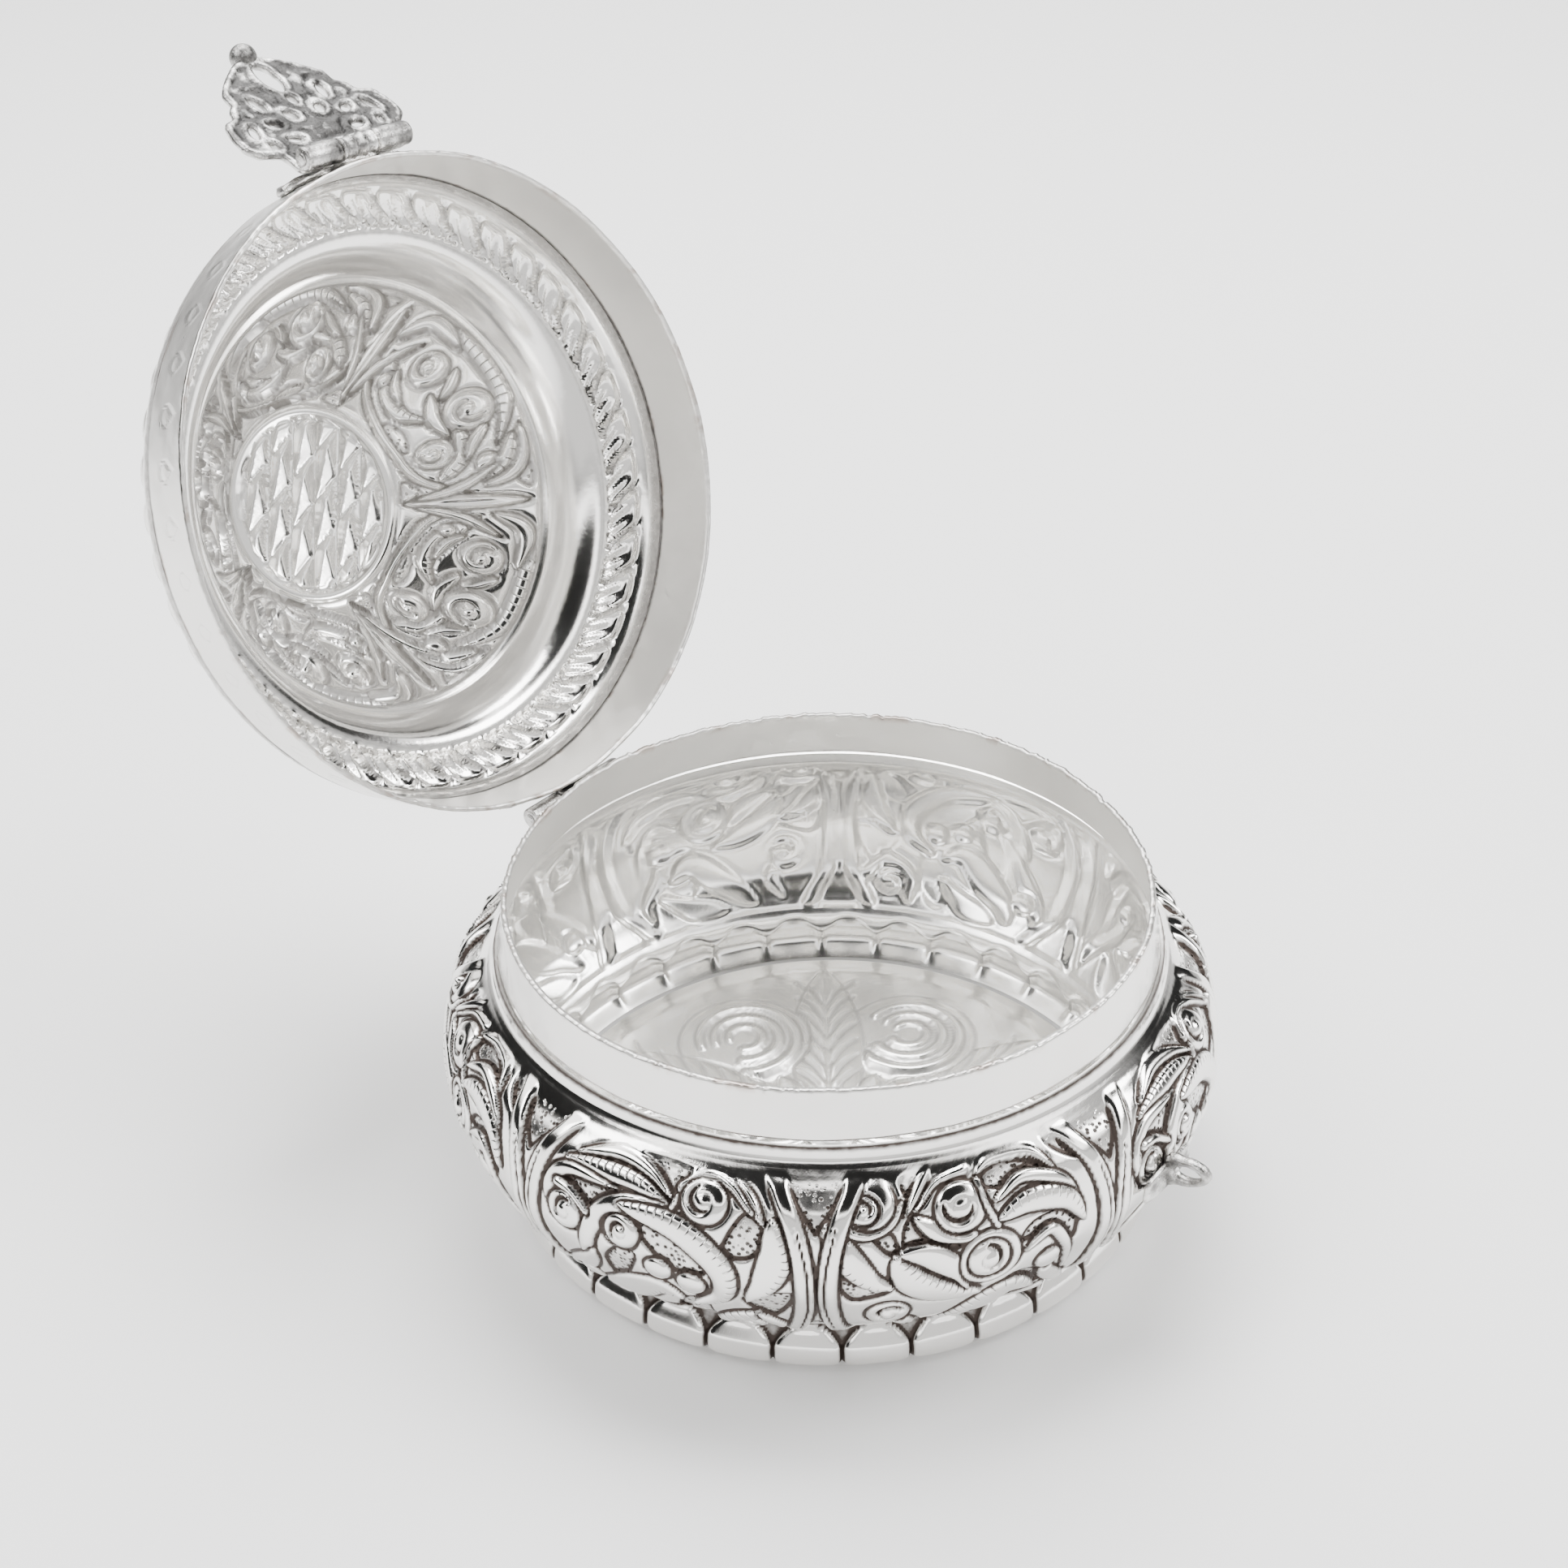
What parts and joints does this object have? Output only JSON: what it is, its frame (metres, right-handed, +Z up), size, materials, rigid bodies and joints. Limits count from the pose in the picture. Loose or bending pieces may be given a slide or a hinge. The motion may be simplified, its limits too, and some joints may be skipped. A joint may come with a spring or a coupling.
{
  "type": "trinket box",
  "caption": "Round embossed silver pill box: bulbous bowl with a collar, a hinged domed lid, and a pierced hasp that drops over a staple.",
  "frame": {"origin": "centre of the base's flat underside, on the bowl's axis", "axes": "+Z up along the bowl's axis; +Y towards the lid's hinge, so the staple is near -Y; +X along the lid's hinge pin"},
  "size_m": [0.0882, 0.1387, 0.1139],
  "materials": {
    "polished_silver": "polished chased silver with dark tarnish in the hollows",
    "satin_silver": "satin silver",
    "cast_silver": "cast silver, worn bright on the edges"
  },
  "bodies": {
    "bowl": {"bowl_wall": "polished_silver", "base_disc": "satin_silver", "collar": "satin_silver", "staple": "cast_silver", "hinge_leaf_bowl": "cast_silver", "hinge_pin": "cast_silver"},
    "lid": {"lid_dome": "polished_silver", "lid_skirt": "satin_silver", "hinge_leaf_lid": "cast_silver", "hasp_bracket": "cast_silver", "hasp_pin": "cast_silver"},
    "hasp": {"hasp_plate": "cast_silver"}
  },
  "joints": [
    {"name": "lid_hinge", "type": "hinge", "parent": "bowl", "child": "lid", "pos_m": [0, 0.0394, 0.033], "axis": [1, 0, 0], "range_deg": [0, 111.6]},
    {"name": "hasp_hinge", "type": "hinge", "parent": "lid", "child": "hasp", "pos_m": [0.00206, 0.06891, 0.10601], "axis": [0.9986, -0.0193, -0.0487], "range_deg": [0, 116]}
  ]
}
